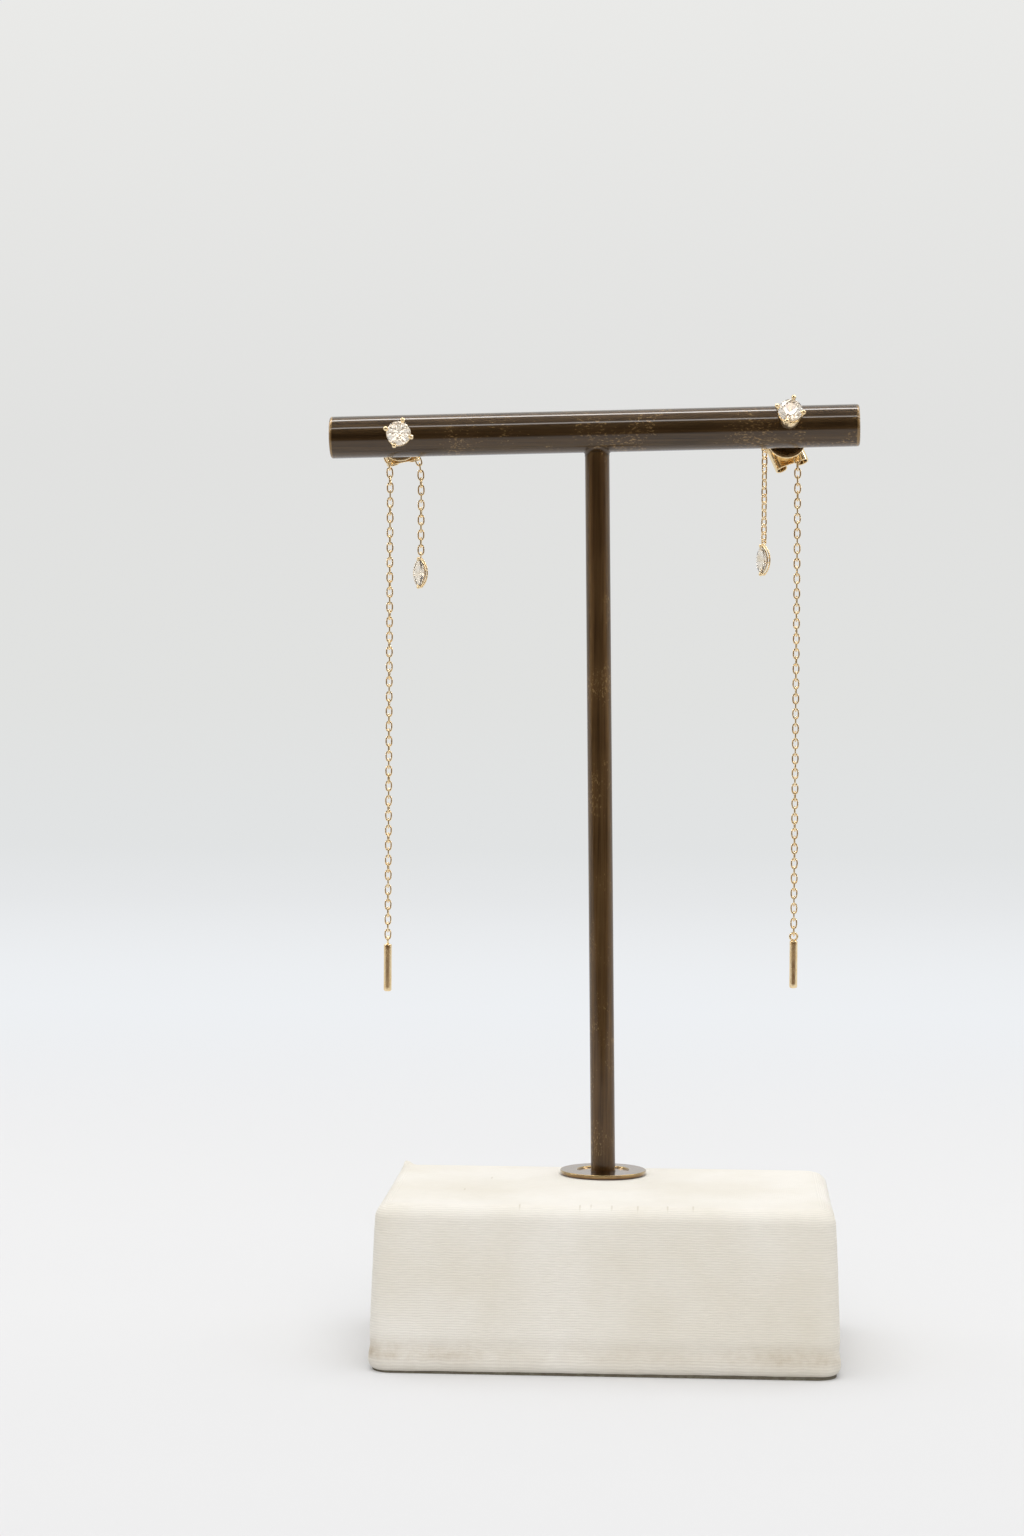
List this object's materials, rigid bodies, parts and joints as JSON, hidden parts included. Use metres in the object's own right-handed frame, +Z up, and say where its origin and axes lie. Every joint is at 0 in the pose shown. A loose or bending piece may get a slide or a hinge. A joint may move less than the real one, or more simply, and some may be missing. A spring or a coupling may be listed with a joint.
{
  "type": "pair of threader earrings on T-bar display stand",
  "caption": "Pair of gold threader earrings, each with a claw-set stud, a long chain with a threader bar and a short chain with a marquise drop, hung on a T-bar display stand.",
  "frame": {"origin": "centre of the base's underside, in the plane that it rests on", "axes": "+X along the bar towards the right earring, +Y to the back of the stand, +Z up"},
  "size_m": [0.0663, 0.0348, 0.1167],
  "materials": {
    "base_cloth": "fine ribbed cream cloth, stained brown along its foot",
    "foot_pad": "matte dark foot pad",
    "dark_brass": "antique dark patina, rubbed along its highlights",
    "washer_metal": "polished antique brass, rubbed bright at its rims",
    "gold": "polished pale yellow gold",
    "stone": "clear faceted stone with a faint champagne tone"
  },
  "bodies": {
    "root": {"base_pad": "foot_pad", "base_block": "base_cloth", "post_washer": "washer_metal", "stand_post": "dark_brass", "stand_bar": "dark_brass", "left_stud_setting": "gold", "left_stud_stone": "stone", "left_ear_back": "gold", "left_long_chain": "gold", "left_threader_bar": "gold", "left_short_chain": "gold", "left_drop_setting": "gold", "left_drop_stone": "stone", "right_stud_setting": "gold", "right_stud_stone": "stone", "right_ear_back": "gold", "right_long_chain": "gold", "right_threader_bar": "gold", "right_short_chain": "gold", "right_drop_setting": "gold", "right_drop_stone": "stone"}
  },
  "joints": []
}
